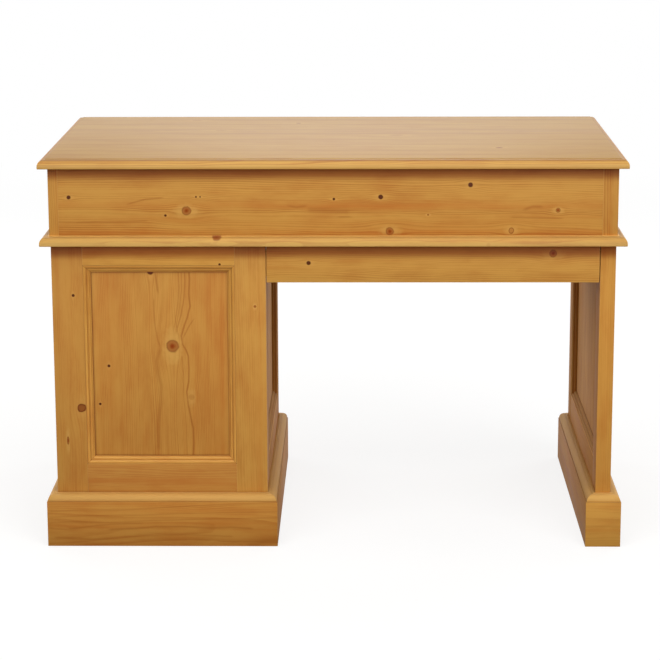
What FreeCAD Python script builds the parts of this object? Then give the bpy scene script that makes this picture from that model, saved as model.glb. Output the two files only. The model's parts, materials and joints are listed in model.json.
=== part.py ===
import FreeCAD, Part
import os
from FreeCAD import Vector

# Panelled pine desk with one cupboard pedestal, an open kneehole and two frieze drawers.
# Millimetres, +Z up. -Y is the panelled back that faces the room, +Y is the sitter's side,
# -X is the pedestal. The origin is on the floor, under the middle of the top.

# Overall size
total_height = 780.0
top_length = 1144.0
top_depth = 660.0
top_thick = 19.0
waist_thick = 19.0
frieze_height = 133.0
frieze_setback = 18.0
body_setback = 20.0
pedestal_width = 420.0

# Moulded edge that runs round the top and the waist board
edge_round = 12.5
edge_ledge = 2.0
edge_step = 1.2
edge_under_round = 1.5

# Frieze box between the two moulded boards
post_width = 30.0
post_width_narrow = 19.0
post_depth = 30.0
frieze_board_thick = 20.0
frieze_tongue = 8.0
frieze_tongue_thick = 8.0
divider_thick = 20.0
front_rail_height = 20.0
front_rail_thick = 20.0
front_rail_tenon = 10.0
front_rail_tenon_side = 10.0
batten_width = 20.0
guide_height = 25.0

# Framed panels of the pedestal, the open end and the door
frame_thick = 30.0
stile_width = 61.0
top_rail_height = 40.5
bottom_rail_show = 58.0
bottom_rail_hidden = 47.0
frame_foot = 10.0
panel_thick = 8.0
groove_depth = 9.0
panel_play = 1.5
tenon_length = 32.0
tenon_shoulder = 10.0
tenon_play = 1.0

# Mitred moulding planted round each panel
moulding_width = 15.0
moulding_sink = 1.0
moulding_outer_flat = 2.0
moulding_inner_flat = 2.5
moulding_toe = 1.0
quirk_width = 1.5
quirk_depth = 0.5

# Plinth boards with a rounded, stepped upper edge
plinth_height = 107.0
plinth_thick = 20.0
plinth_flat = 6.0
plinth_ledge = 1.5
plinth_round_height = 13.6
plinth_top_step = 1.0

# Apron rail across the kneehole
apron_height = 75.0
apron_thick = 20.0
apron_recess = 2.0
apron_end_gap = 1.5
apron_tenon = 15.0
apron_tenon_thick = 10.0
apron_tenon_shoulder = 12.0

# Inside of the pedestal
floor_thick = 18.0
corner_block = 40.0
door_stop_height = 18.0
door_stop_depth = 18.0
stop_gap = 0.3

# Door and its butt hinges
door_thick = 22.0
door_gap = 2.0
hinge_height = 50.0
hinge_inset = 70.0
leaf_width = 20.0
leaf_thick = 1.5
leaf_gap = 0.1
knuckle_count = 3
knuckle_radius = 3.2
knuckle_gap = 0.2
hinge_proud = 0.3
leaf_relief = 0.4
pin_radius = 1.6
pin_clearance = 0.08
pin_end = 1.0
door_knob_rise = 60.0

# Drawers
drawer_gap = 1.5
drawer_run = 0.3
drawer_front_thick = 20.0
drawer_side_thick = 12.0
drawer_side_drop = 3.0
drawer_back_thick = 12.0
drawer_back_drop = 4.0
drawer_rear_gap = 30.0
drawer_bottom_thick = 6.0
drawer_bottom_rise = 10.0
drawer_groove = 6.0
drawer_groove_play = 0.5
tail_length = 12.0
tail_count = 3
tail_share = 0.6
tail_slope = 1.0 / 6.0
knob_spread = 0.5

# Turned knobs
knob_projection = 24.0
knob_radius = 16.5
knob_stem_radius = 7.0
knob_stem_length = 9.0
knob_back_chamfer = 1.5
knob_face_chamfer = 3.0
knob_spigot_radius = 5.0
knob_spigot_length = 14.0
knob_hole_clearance = 0.1

# Heights and faces worked out from the sizes above
top_under = total_height - top_thick
waist_top = top_under - frieze_height
waist_under = waist_top - waist_thick
frieze_left = -top_length / 2 + frieze_setback
frieze_right = -frieze_left
frieze_back = -top_depth / 2 + frieze_setback
frieze_front = -frieze_back
body_left = -top_length / 2 + body_setback
body_right = -body_left
body_back = -top_depth / 2 + body_setback
body_front = -body_back
pedestal_right = body_left + pedestal_width
cupboard_left = body_left + frame_thick
cupboard_right = pedestal_right - frame_thick
cupboard_back = body_back + frame_thick
end_left = body_right - frame_thick
opening_low = plinth_height + bottom_rail_show
opening_high = waist_under - top_rail_height
panel_recess = (frame_thick - panel_thick) / 2
divider_middle = pedestal_right - frame_thick / 2
drawer_head = top_under - front_rail_height
door_back = body_front - door_thick
floor_under = plinth_height - floor_thick
root_half = 2 ** -0.5

up = Vector(0, 0, 1)
origin = Vector(0, 0, 0)


# General forms

def block(x0, x1, y0, y1, z0, z1):
    return Part.makeBox(x1 - x0, y1 - y0, z1 - z0, Vector(x0, y0, z0))


def moved(shape, angle, x, y, z=0.0):
    placed = shape.copy()
    placed.rotate(origin, up, angle)
    placed.translate(Vector(x, y, z))
    return placed


def rounded(end, corner):
    # A stretch that ends at a point and bulges towards a corner
    return {"end": end, "corner": corner}


def outline(steps, at):
    # A closed face. A plain point ends a straight stretch.
    ends = [step["end"] if isinstance(step, dict) else step for step in steps]
    edges = []
    for index, step in enumerate(steps):
        start, end = ends[index - 1], ends[index]
        if not isinstance(step, dict):
            edges.append(Part.makeLine(at(*start), at(*end)))
            continue
        via = tuple(
            (s + e - c) + (2 * c - s - e) * root_half for s, e, c in zip(start, end, step["corner"])
        )
        edges.append(Part.Arc(at(*start), at(*via), at(*end)).toShape())
    return Part.Face(Part.Wire(edges))


def mitred_ring(section, width, height, size_x, size_y):
    # Four strips round a rectangle centred on the origin, with mitred corners. The section's
    # first value runs inwards from the rectangle, its second value upwards.
    strips = []
    for turn, length, reach in (
        (0, size_x, size_y / 2),
        (90, size_y, size_x / 2),
        (180, size_x, size_y / 2),
        (270, size_y, size_x / 2),
    ):
        half = length / 2
        bar = outline(section, lambda u, h: Vector(-half, u, h)).extrude(Vector(length, 0, 0))
        plan = [(-half, 0), (half, 0), (half - width, width), (-half + width, width)]
        mitre = outline(plan, lambda u, v: Vector(u, v, 0)).extrude(Vector(0, 0, height))
        strip = bar.common(mitre)
        strip.translate(Vector(0, -reach, 0))
        strips.append(moved(strip, turn, 0, 0))
    return strips


def save(name, solids):
    solids = solids if isinstance(solids, list) else [solids]
    shape = solids[0] if len(solids) == 1 else Part.makeCompound(solids)
    bad = [solid for solid in solids if not solid.isValid() or len(solid.Solids) != 1]
    if bad:
        raise ValueError(f"{name}: {len(bad)} pieces are not single valid solids")
    shape.exportStep(f"parts/{name}.step")


# Top and waist board

def moulded_section(span, thick):
    far = span / 2
    shoulder = far - edge_round
    field = shoulder - edge_ledge
    ledge = thick - edge_step
    half = [
        (far - edge_under_round, 0.0),
        rounded((far, edge_under_round), (far, 0.0)),
        (far, ledge - edge_round),
        rounded((shoulder, ledge), (far, ledge)),
        (field, ledge),
        (field, thick),
    ]
    other = [
        (-field, thick),
        (-field, ledge),
        (-shoulder, ledge),
        rounded((-far, ledge - edge_round), (-far, ledge)),
        (-far, edge_under_round),
        rounded((-far + edge_under_round, 0.0), (-far, 0.0)),
    ]
    return half + other


def moulded_board(thick, under):
    along = outline(
        moulded_section(top_depth, thick), lambda u, h: Vector(-top_length / 2, u, under + h)
    ).extrude(Vector(top_length, 0, 0))
    across = outline(
        moulded_section(top_length, thick), lambda u, h: Vector(u, -top_depth / 2, under + h)
    ).extrude(Vector(0, top_depth, 0))
    return along.common(across)


# Frieze

def frieze():
    post_edges = {
        "back_left": (frieze_left, frieze_left + post_width_narrow, frieze_back),
        "back_right": (frieze_right - post_width, frieze_right, frieze_back),
        "front_left": (frieze_left, frieze_left + post_width, frieze_front - post_depth),
        "front_right": (frieze_right - post_width, frieze_right, frieze_front - post_depth),
    }
    posts = [
        block(x0, x1, y0, y0 + post_depth, waist_top, top_under)
        for x0, x1, y0 in post_edges.values()
    ]
    tongue_in = (frieze_board_thick - frieze_tongue_thick) / 2

    board_left = post_edges["back_left"][1]
    board_right = post_edges["back_right"][0]
    back_board = block(
        board_left, board_right, frieze_back, frieze_back + frieze_board_thick, waist_top, top_under
    ).fuse(block(
        board_left - frieze_tongue, board_right + frieze_tongue,
        frieze_back + tongue_in, frieze_back + tongue_in + frieze_tongue_thick,
        waist_top, top_under,
    )).removeSplitter()

    ends = []
    end_back = frieze_back + post_depth
    end_front = frieze_front - post_depth
    for outer in (frieze_left, frieze_right - frieze_board_thick):
        board = block(outer, outer + frieze_board_thick, end_back, end_front, waist_top, top_under)
        tongues = block(
            outer + tongue_in, outer + tongue_in + frieze_tongue_thick,
            end_back - frieze_tongue, end_front + frieze_tongue, waist_top, top_under,
        )
        ends.append(board.fuse(tongues).removeSplitter())

    rail_back = frieze_front - front_rail_thick
    rail_left = post_edges["front_left"][1]
    rail_right = post_edges["front_right"][0]
    tenon_back = rail_back + (front_rail_thick - front_rail_tenon_side) / 2
    tenon_low = drawer_head + (front_rail_height - front_rail_tenon_side) / 2
    front_rail = block(
        rail_left, rail_right, rail_back, frieze_front, drawer_head, top_under
    ).fuse(block(
        rail_left - front_rail_tenon, rail_right + front_rail_tenon,
        tenon_back, tenon_back + front_rail_tenon_side, tenon_low, tenon_low + front_rail_tenon_side,
    )).removeSplitter()

    for joined in [back_board, front_rail] + ends:
        posts = [post.cut(joined) for post in posts]

    inside_back = frieze_back + frieze_board_thick
    divider_left = divider_middle - divider_thick / 2
    divider_right = divider_middle + divider_thick / 2
    divider = block(
        divider_left, divider_right, inside_back, frieze_front, waist_top, top_under
    ).cut(front_rail)

    guides = []
    for inner, outer in ((-1, frieze_left), (1, frieze_right)):
        edges = sorted((outer - inner * frieze_board_thick, outer - inner * post_width))
        guides.append(block(*edges, end_back, end_front, waist_top, waist_top + guide_height))

    battens = []
    for edge in (
        frieze_left + frieze_board_thick,
        divider_left - batten_width,
        divider_right,
        frieze_right - frieze_board_thick - batten_width,
    ):
        battens.append(
            block(edge, edge + batten_width, end_back, end_front, drawer_head, top_under)
        )

    save("frieze_corner_posts", posts)
    save("frieze_back_board", back_board)
    save("frieze_end_left", ends[0])
    save("frieze_end_right", ends[1])
    save("frieze_front_rail", front_rail)
    save("frieze_divider", divider)
    save("drawer_guides", guides)
    save("top_battens", battens)
    return {
        "left": (rail_left, divider_left),
        "right": (divider_right, rail_right),
    }


# Framed panels

def framed_panel(width, thick, foot, head, rail_foot):
    # Stands with its face at y = 0, from x = 0 to its width, and its back towards +Y.
    inner_left = stile_width
    inner_right = width - stile_width
    plane = (panel_recess, panel_recess + panel_thick)
    stiles = [
        block(0, inner_left, 0, thick, foot, head),
        block(inner_right, width, 0, thick, foot, head),
    ]
    rails = [
        block(inner_left, inner_right, 0, thick, rail_foot, opening_low),
        block(inner_left, inner_right, 0, thick, opening_high, head),
    ]
    groove = block(
        inner_left - groove_depth, inner_right + groove_depth, *plane,
        opening_low - groove_depth, opening_high + groove_depth,
    )
    tenon_heights = [
        (rail_foot + tenon_shoulder, opening_low - groove_depth),
        (opening_high + groove_depth, head - tenon_shoulder),
    ]
    joined_rails = []
    mortise_reach = tenon_length + tenon_play
    for rail, heights in zip(rails, tenon_heights):
        tenon = block(inner_left - tenon_length, inner_right + tenon_length, *plane, *heights)
        mortise = block(inner_left - mortise_reach, inner_right + mortise_reach, *plane, *heights)
        joined_rails.append(rail.cut(groove).fuse(tenon).removeSplitter())
        stiles = [stile.cut(mortise) for stile in stiles]
    reach = groove_depth - panel_play
    return {
        "stiles": [stile.cut(groove) for stile in stiles],
        "rails": joined_rails,
        "panel": block(
            inner_left - reach, inner_right + reach, *plane, opening_low - reach, opening_high + reach
        ),
        "moulding": panel_moulding(inner_left, inner_right),
    }


def panel_moulding(inner_left, inner_right):
    height = panel_recess - moulding_sink
    flats = moulding_outer_flat + moulding_inner_flat + quirk_width
    bead_width = (moulding_width - flats) / 2
    bead_height = (height - moulding_toe) / 2
    middle = height - bead_height
    upper = moulding_outer_flat + bead_width
    lower = upper + quirk_width
    toe_start = lower + bead_width
    section = [
        (0.0, 0.0),
        (0.0, height),
        (moulding_outer_flat, height),
        rounded((upper, middle), (upper, height)),
        (upper, middle - quirk_depth),
        (lower, middle - quirk_depth),
        (lower, middle),
        rounded((toe_start, moulding_toe), (toe_start, middle)),
        (moulding_width, moulding_toe),
        (moulding_width, 0.0),
    ]
    strips = mitred_ring(
        section, moulding_width, height, inner_right - inner_left, opening_high - opening_low
    )
    for strip in strips:
        strip.rotate(origin, Vector(1, 0, 0), 90)
        strip.translate(Vector(
            (inner_left + inner_right) / 2, panel_recess, (opening_low + opening_high) / 2
        ))
    return strips


def placed_panel(pieces, angle, x, y):
    return {
        name: [moved(solid, angle, x, y) for solid in (made if isinstance(made, list) else [made])]
        for name, made in pieces.items()
    }


def save_panel(prefix, pieces):
    for name, solids in pieces.items():
        save(f"{prefix}_{name}", solids)


# Apron rail across the kneehole

def apron():
    face = body_back + apron_recess
    tenon_back = face + (apron_thick - apron_tenon_thick) / 2
    low = waist_under - apron_height
    board = block(
        pedestal_right + apron_end_gap, end_left - apron_end_gap,
        face, face + apron_thick, low, waist_under,
    )
    tenons = block(
        pedestal_right - apron_tenon, end_left + apron_tenon,
        tenon_back, tenon_back + apron_tenon_thick,
        low + apron_tenon_shoulder, waist_under - apron_tenon_shoulder,
    )
    return board.fuse(tenons).removeSplitter()


# Plinth

def plinth_section():
    face_top = plinth_height - plinth_top_step - plinth_round_height
    ledge = plinth_height - plinth_top_step
    flat_edge = plinth_thick - plinth_flat
    return [
        (0.0, 0.0),
        (0.0, face_top),
        (plinth_ledge, face_top),
        rounded((flat_edge, ledge), (plinth_ledge, ledge)),
        (flat_edge, plinth_height),
        (plinth_thick, plinth_height),
        (plinth_thick, 0.0),
    ]


def plinth(prefix, names, left, right):
    strips = mitred_ring(
        plinth_section(), plinth_thick, plinth_height,
        right - left + 2 * plinth_thick, body_front - body_back + 2 * plinth_thick,
    )
    for name, strip in zip(names, strips):
        strip.translate(Vector((left + right) / 2, 0, 0))
        save(f"{prefix}_{name}", strip)


# Turned knob, projecting along +Y from its seat at the origin

def knob():
    steps = [
        (0.0, -knob_spigot_length),
        (knob_spigot_radius, -knob_spigot_length),
        (knob_spigot_radius, 0.0),
        (knob_stem_radius, 0.0),
        (knob_stem_radius, knob_stem_length),
        (knob_radius - knob_back_chamfer, knob_stem_length),
        (knob_radius, knob_stem_length + knob_back_chamfer),
        (knob_radius, knob_projection - knob_face_chamfer),
        (knob_radius - knob_face_chamfer, knob_projection),
        (0.0, knob_projection),
    ]
    face = outline(steps, lambda radius, reach: Vector(radius, reach, 0))
    return face.revolve(origin, Vector(0, 1, 0), 360)


def knob_hole(x, face, z):
    return Part.makeCylinder(
        knob_spigot_radius + knob_hole_clearance, knob_spigot_length + knob_hole_clearance,
        Vector(x, face, z), Vector(0, -1, 0),
    )


# Butt hinges of the door

def hinges(heights):
    axis_x = cupboard_left + door_gap / 2
    axis_y = body_front + knuckle_radius + hinge_proud
    plate_end = axis_y - knuckle_radius - leaf_relief
    step = hinge_height / knuckle_count
    made = {"frame": [], "door": [], "pins": []}
    for middle in heights:
        low = middle - hinge_height / 2
        bore = Part.makeCylinder(
            pin_radius + pin_clearance, hinge_height, Vector(axis_x, axis_y, low)
        )
        for leaf, first, side in (("frame", 0, -1), ("door", 1, 1)):
            edges = sorted((axis_x + side * leaf_gap / 2, axis_x + side * (leaf_gap / 2 + leaf_thick)))
            plate = block(*edges, body_front - leaf_width, plate_end, low, low + hinge_height)
            for number in range(first, knuckle_count, 2):
                bottom = low + number * step + knuckle_gap / 2
                height = step - knuckle_gap
                tab = block(*edges, plate_end, axis_y, bottom, bottom + height)
                barrel = Part.makeCylinder(knuckle_radius, height, Vector(axis_x, axis_y, bottom))
                plate = plate.fuse(barrel.fuse(tab))
            made[leaf].append(plate.cut(bore).removeSplitter())
        made["pins"].append(Part.makeCylinder(
            pin_radius, hinge_height + 2 * pin_end, Vector(axis_x, axis_y, low - pin_end)
        ))
    return made


# Pedestal, door and open end

def pedestal():
    rail_foot = plinth_height - bottom_rail_hidden
    depth = body_front - cupboard_back
    back = placed_panel(
        framed_panel(pedestal_width, frame_thick, frame_foot, waist_under, rail_foot),
        0, body_left, body_back,
    )
    side = framed_panel(depth, frame_thick, frame_foot, waist_under, rail_foot)
    outer = placed_panel(side, -90, body_left, body_front)
    inner = placed_panel(side, 90, pedestal_right, cupboard_back)

    door_foot = plinth_height + door_gap
    door_head = waist_under - door_gap
    door_width = cupboard_right - cupboard_left - 2 * door_gap
    door = placed_panel(
        framed_panel(door_width, door_thick, door_foot, door_head, door_foot),
        180, cupboard_right - door_gap, body_front,
    )

    hinge_set = hinges((door_foot + hinge_inset, door_head - hinge_inset))
    for leaf in hinge_set["frame"]:
        outer["stiles"] = [stile.cut(leaf) for stile in outer["stiles"]]
    for leaf in hinge_set["door"]:
        door["stiles"] = [stile.cut(leaf) for stile in door["stiles"]]

    knob_x = cupboard_right - door_gap - stile_width / 2
    knob_z = (opening_low + opening_high) / 2 + door_knob_rise
    door["stiles"] = [stile.cut(knob_hole(knob_x, body_front, knob_z)) for stile in door["stiles"]]

    across = apron()
    back["stiles"] = [stile.cut(across) for stile in back["stiles"]]

    save("pedestal_back_stile_left", back["stiles"][0])
    save("pedestal_back_stile_right", back["stiles"][1])
    save("pedestal_back_rail_bottom", back["rails"][0])
    save("pedestal_back_rail_top", back["rails"][1])
    save("pedestal_back_panel", back["panel"])
    save("pedestal_back_moulding", back["moulding"])
    save_panel("pedestal_outer", outer)
    save_panel("pedestal_inner", inner)
    save_panel("door", door)
    save("door_knob", moved(knob(), 0, knob_x, body_front, knob_z))
    save("hinge_frame_leaves", hinge_set["frame"])
    save("hinge_door_leaves", hinge_set["door"])
    save("hinge_pins", hinge_set["pins"])
    save("apron_rail", across)

    blocks = [
        block(x, x + corner_block, y, y + corner_block, frame_foot, floor_under)
        for x in (cupboard_left, cupboard_right - corner_block)
        for y in (cupboard_back, body_front - corner_block)
    ]
    save("pedestal_corner_blocks", blocks)
    save("pedestal_floor", block(
        cupboard_left, cupboard_right, cupboard_back, body_front, floor_under, plinth_height,
    ))
    save("door_stop", block(
        cupboard_left, cupboard_right, door_back - stop_gap - door_stop_depth, door_back - stop_gap,
        waist_under - door_stop_height, waist_under,
    ))
    plinth("pedestal_plinth", ("back", "right", "front", "left"), body_left, pedestal_right)
    return across


def open_end(across):
    rail_foot = plinth_height - bottom_rail_hidden
    depth = body_front - body_back
    panel = framed_panel(depth, frame_thick, frame_foot, waist_under, rail_foot)
    panel["moulding_inner"] = panel.pop("moulding")
    panel["moulding_outer"] = [
        moved(strip, 180, depth, frame_thick) for strip in panel["moulding_inner"]
    ]
    end = placed_panel(panel, -90, end_left, body_front)
    end["stiles"] = [stile.cut(across) for stile in end["stiles"]]
    save_panel("end", end)
    plinth("end_plinth", ("back", "outer", "front", "inner"), end_left, body_right)


# Dovetailed drawers

def tails(x0, x1, root, tip, low, high):
    # Tails that widen from their root to their tip, along Y, through a side's thickness
    pitch = (high - low) / tail_count
    tip_reach = pitch * tail_share / 2
    root_reach = tip_reach - tail_slope * abs(tip - root)
    made = []
    for number in range(tail_count):
        middle = low + (number + 0.5) * pitch
        shape = [
            (root, middle - root_reach),
            (tip, middle - tip_reach),
            (tip, middle + tip_reach),
            (root, middle + root_reach),
        ]
        made.append(outline(shape, lambda y, z: Vector(x0, y, z)).extrude(Vector(x1 - x0, 0, 0)))
    return made


def drawer(prefix, opening, knob_name, knob_shares):
    left = opening[0] + drawer_gap
    right = opening[1] - drawer_gap
    front_back = frieze_front - drawer_front_thick
    front_low = waist_top + drawer_gap
    front_high = drawer_head - drawer_gap
    rear = frieze_back + frieze_board_thick + drawer_rear_gap
    rear_inside = rear + drawer_back_thick
    box_low = waist_top + drawer_run
    box_high = front_high - drawer_side_drop
    bottom_low = box_low + drawer_bottom_rise
    bottom_high = bottom_low + drawer_bottom_thick
    inner_left = left + drawer_side_thick
    inner_right = right - drawer_side_thick

    sides = []
    for x0, x1 in ((left, inner_left), (inner_right, right)):
        side = block(x0, x1, rear, front_back, box_low, box_high)
        side = side.cut(block(x0, x1, rear, rear_inside, bottom_high, box_high))
        front_tails = tails(x0, x1, front_back, front_back + tail_length, front_low, box_high)
        rear_tails = tails(x0, x1, rear_inside, rear, bottom_high, box_high - drawer_back_drop)
        for tail in front_tails + rear_tails:
            side = side.fuse(tail)
        groove = block(
            inner_left - drawer_groove, inner_right + drawer_groove,
            rear, front_back, bottom_low, bottom_high,
        )
        sides.append(side.cut(groove).removeSplitter())

    front = block(left, right, front_back, frieze_front, front_low, front_high)
    front = front.cut(block(
        inner_left, inner_right, front_back, front_back + drawer_groove, bottom_low, bottom_high
    ))
    back = block(left, right, rear, rear_inside, bottom_high, box_high - drawer_back_drop)
    for side in sides:
        front = front.cut(side)
        back = back.cut(side)

    reach = drawer_groove - drawer_groove_play
    bottom = block(
        inner_left - reach, inner_right + reach, rear, front_back, bottom_low, bottom_high
    ).fuse(block(
        inner_left, inner_right, front_back, front_back + reach, bottom_low, bottom_high
    )).removeSplitter()

    knobs = []
    knob_z = (front_low + front_high) / 2
    for share in knob_shares:
        knob_x = left + (right - left) * share
        front = front.cut(knob_hole(knob_x, frieze_front, knob_z))
        knobs.append(moved(knob(), 0, knob_x, frieze_front, knob_z))

    save(f"{prefix}_front", front)
    save(f"{prefix}_sides", sides)
    save(f"{prefix}_back", back)
    save(f"{prefix}_bottom", bottom)
    save(f"{prefix}_{knob_name}", knobs)


def main():
    os.makedirs("parts", exist_ok=True)
    save("top_board", moulded_board(top_thick, top_under))
    save("waist_board", moulded_board(waist_thick, waist_under))
    openings = frieze()
    open_end(pedestal())
    drawer("drawer_left", openings["left"], "knob", (0.5,))
    drawer("drawer_right", openings["right"], "knobs", (0.5 - knob_spread / 2, 0.5 + knob_spread / 2))


main()
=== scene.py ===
import json
import math
import random
import bmesh
import bpy
from mathutils import Matrix, Vector


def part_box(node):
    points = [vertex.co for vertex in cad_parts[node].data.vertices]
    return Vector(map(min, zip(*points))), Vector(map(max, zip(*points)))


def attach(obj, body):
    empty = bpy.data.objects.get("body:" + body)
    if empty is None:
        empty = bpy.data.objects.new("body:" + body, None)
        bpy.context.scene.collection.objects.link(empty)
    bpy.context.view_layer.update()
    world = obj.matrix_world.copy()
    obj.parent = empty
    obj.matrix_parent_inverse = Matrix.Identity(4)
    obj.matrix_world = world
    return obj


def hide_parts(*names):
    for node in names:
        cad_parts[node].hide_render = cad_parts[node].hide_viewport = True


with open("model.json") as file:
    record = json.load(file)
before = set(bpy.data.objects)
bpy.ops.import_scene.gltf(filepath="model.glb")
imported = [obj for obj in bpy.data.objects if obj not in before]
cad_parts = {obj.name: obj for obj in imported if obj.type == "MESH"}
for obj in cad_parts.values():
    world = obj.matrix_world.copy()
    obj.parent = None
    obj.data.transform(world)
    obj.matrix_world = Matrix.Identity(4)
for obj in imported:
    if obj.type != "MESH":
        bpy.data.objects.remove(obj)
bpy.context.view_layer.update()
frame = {"nodes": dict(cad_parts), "record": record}
nodes = frame["nodes"]
record = frame["record"]
bodyOf = {node: body for body, members in record["behaviour"]["bodies"].items() for node in members}
mm = 0.001
print("frame loaded:", len(nodes), "nodes")


# Shader maths

class Val:
    # wraps one output socket, so sums on it can be written as plain expressions
    def __init__(self, socket):
        self.socket = socket
        self.tree = socket.id_data

    @staticmethod
    def node(tree, kind, settings=None, sockets=None, out=0):
        made = tree.nodes.new(kind)
        for key, value in (settings or {}).items():
            setattr(made, key, value)
        for key, value in (sockets or {}).items():
            if isinstance(value, Val):
                tree.links.new(value.socket, made.inputs[key])
            else:
                made.inputs[key].default_value = value
        return Val(made.outputs[out])

    def out(self, name):
        return Val(self.socket.node.outputs[name])

    def maths(self, operation, first, second=0.0):
        return Val.node(self.tree, "ShaderNodeMath", {"operation": operation}, {0: first, 1: second})

    def __add__(self, other):
        return self.maths("ADD", self, other)

    def __radd__(self, other):
        return self.maths("ADD", other, self)

    def __sub__(self, other):
        return self.maths("SUBTRACT", self, other)

    def __rsub__(self, other):
        return self.maths("SUBTRACT", other, self)

    def __mul__(self, other):
        return self.maths("MULTIPLY", self, other)

    def __rmul__(self, other):
        return self.maths("MULTIPLY", other, self)

    def __truediv__(self, other):
        return self.maths("DIVIDE", self, other)

    def __rtruediv__(self, other):
        return self.maths("DIVIDE", other, self)

    def __pow__(self, other):
        return self.maths("POWER", self, other)

    def __rpow__(self, other):
        return self.maths("POWER", other, self)

    def __gt__(self, other):
        return self.maths("GREATER_THAN", self, other)

    def floor(self):
        return self.maths("FLOOR", self)

    def size(self):
        return self.maths("ABSOLUTE", self)

    def exp(self):
        return self.maths("EXPONENT", self)

    def least(self, other):
        return self.maths("MINIMUM", self, other)

    def most(self, other):
        return self.maths("MAXIMUM", self, other)

    def step(self, low, high):
        smooth = {"interpolation_type": "SMOOTHSTEP"}
        return Val.node(self.tree, "ShaderNodeMapRange", smooth, {0: self, 1: low, 2: high, 3: 0.0, 4: 1.0})


def point(x, y, z):
    tree = next(value.tree for value in (x, y, z) if isinstance(value, Val))
    return Val.node(tree, "ShaderNodeCombineXYZ", {}, {0: x, 1: y, 2: z})


def noise(place, detail=2.0, roughness=0.5):
    sockets = {"Vector": place, "Scale": 1.0, "Detail": detail, "Roughness": roughness}
    return Val.node(place.tree, "ShaderNodeTexNoise", {"noise_dimensions": "3D"}, sockets)


def drawn(number):
    # three even random values for each whole number
    oneNumber = {"noise_dimensions": "1D"}
    white = Val.node(number.tree, "ShaderNodeTexWhiteNoise", oneNumber, {"W": number}, "Color")
    split = Val.node(number.tree, "ShaderNodeSeparateColor", {}, {0: white})
    return split, split.out("Green"), split.out("Blue")


def mixed(share, first, second):
    return Val.node(share.tree, "ShaderNodeMix", {"data_type": "RGBA"}, {0: share, 6: first, 7: second}, 2)


def multiplyMixed(share, first, overhangShadow):
    settings = {"data_type": "RGBA", "blend_type": "MULTIPLY"}
    return Val.node(share.tree, "ShaderNodeMix", settings, {0: share, 6: first, 7: overhangShadow}, 2)


def colour(red, green, blue, tone=1.0):
    # screen colour, 0 to 255, to the linear values that a socket takes
    def straight(level):
        level = level / 255
        return level / 12.92 if level <= 0.04045 else ((level + 0.055) / 1.055) ** 2.4
    return tuple(straight(level) * tone for level in (red, green, blue)) + (1.0,)


def newMaterial(name):
    material = bpy.data.materials.new(name)
    material.use_nodes = True
    return material, material.node_tree, material.node_tree.nodes["Principled BSDF"]


def feed(shader, sockets):
    tree = shader.id_data
    for name, value in sockets.items():
        if isinstance(value, Val):
            tree.links.new(value.socket, shader.inputs[name])
        else:
            shader.inputs[name].default_value = value


# Pine, cut from a log: growth rings round a pith line, with fibre, streaks and knots

waxedPine = {
    # screen colours of the wood, of what lies on it, and of painted shade and highlights
    "early": (203, 148, 68), "late": (162, 94, 33), "red": (186, 106, 38), "wornAndSheen": (214, 167, 94),
    "pale": (232, 190, 116), "waxAndShade": (94, 36, 8), "heart": (143, 60, 3), "dark": (66, 18, 0),
    "rim": (112, 42, 1), "halo": (212, 162, 82),
    # painted shadow under an overhang, and painted shade on faces turned to the kneehole, as shares of the
    # light
    "overhangShadow": (0.52, 0.33, 0.27, 1.0), "kneeholeShade": (0.74, 0.66, 0.66, 1.0),
    "ringWidth": 3.0, "waver": 9.0, "taper": 0.010, "lineShare": 0.60, "redShare": 0.36,
    "roughness": 0.56, "gloss": 0.16, "coat": 0.0, "coatRoughness": 0.48,
}
topPine = dict(waxedPine, early=(203, 155, 74), late=(165, 102, 39), coat=0.16)
plinthPine = dict(waxedPine, coat=0.06, gloss=0.07)
shadedPine = dict(waxedPine, gloss=0.10, roughness=0.62)
hiddenPine = dict(waxedPine, gloss=0.07, roughness=0.66)
barePine = dict(
    waxedPine, early=(228, 196, 146), late=(198, 150, 92), red=(214, 170, 112), wornAndSheen=(232, 204, 158),
    roughness=0.62, waxAndShade=(150, 110, 70),
)
woodShades = ("early", "late", "red", "wornAndSheen", "pale", "waxAndShade", "heart", "dark", "rim", "halo")
growth = {
    # change of each pattern per millimetre along and across the grain
    "wander": (0.0026, 0.015), "ripple": (0.013, 0.05), "fibre": (0.010, 0.85),
    "streak": (0.0016, 0.09), "cloud": (0.0026, 0.016), "figure": (0.011, 0.034),
    "pace": 0.045, "years": 0.28, "ragged": 0.12, "sway": 0.009,
    # how far they swing the rings and the drawn lines
    "rippleSwing": 2.2, "paceSwing": 5, "traceSwing": 3,
    # shares in the late wood's colour and in the red
    "fibreShare": 0.5, "cloudShare": 0.75, "figureShare": 0.9, "figureRed": 0.55,
    # turn of the ring where late wood sets in and where it ends
    "lateStart": (0.25, 0.86), "lateEnd": (0.90, 1.0),
}
knotKinds = {
    # shares of brown wood, brown heart, black core, dark rim and pale wood round it
    "brown": {"body": 0.60, "eye": 0.42, "dark": 0.0, "rim": 0.50, "halo": 0.55},
    "dark": {"body": 0.60, "eye": 0.0, "dark": 0.90, "rim": 0.5, "halo": 0.25},
    "ringed": {"body": 0.34, "eye": 0.10, "dark": 0.0, "rim": 0.80, "halo": 0.55},
    "dead": {"body": 0.72, "eye": 0.0, "dark": 0.25, "rim": 0.95, "halo": 0.25},
    "edge": {"body": 0.80, "eye": 0.30, "dark": 0.10, "rim": 0.22, "halo": 0.85},
    "faint": {"body": 0.20, "eye": 0.08, "dark": 0.0, "rim": 0.06, "halo": 0.35},
}
knotReach = {
    # in radii of the knot
    "core": (0.78, 1.08), "eye": (0.0, 0.8), "rim": 0.92, "rimSharp": 45, "halo": (0.8, 2.0), "haloLong": 2.0,
    "ragged": 0.5, "haloRagged": 1.2, "pushLong": 5.5, "pushWide": 2.6, "push": 0.8,
}


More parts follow.
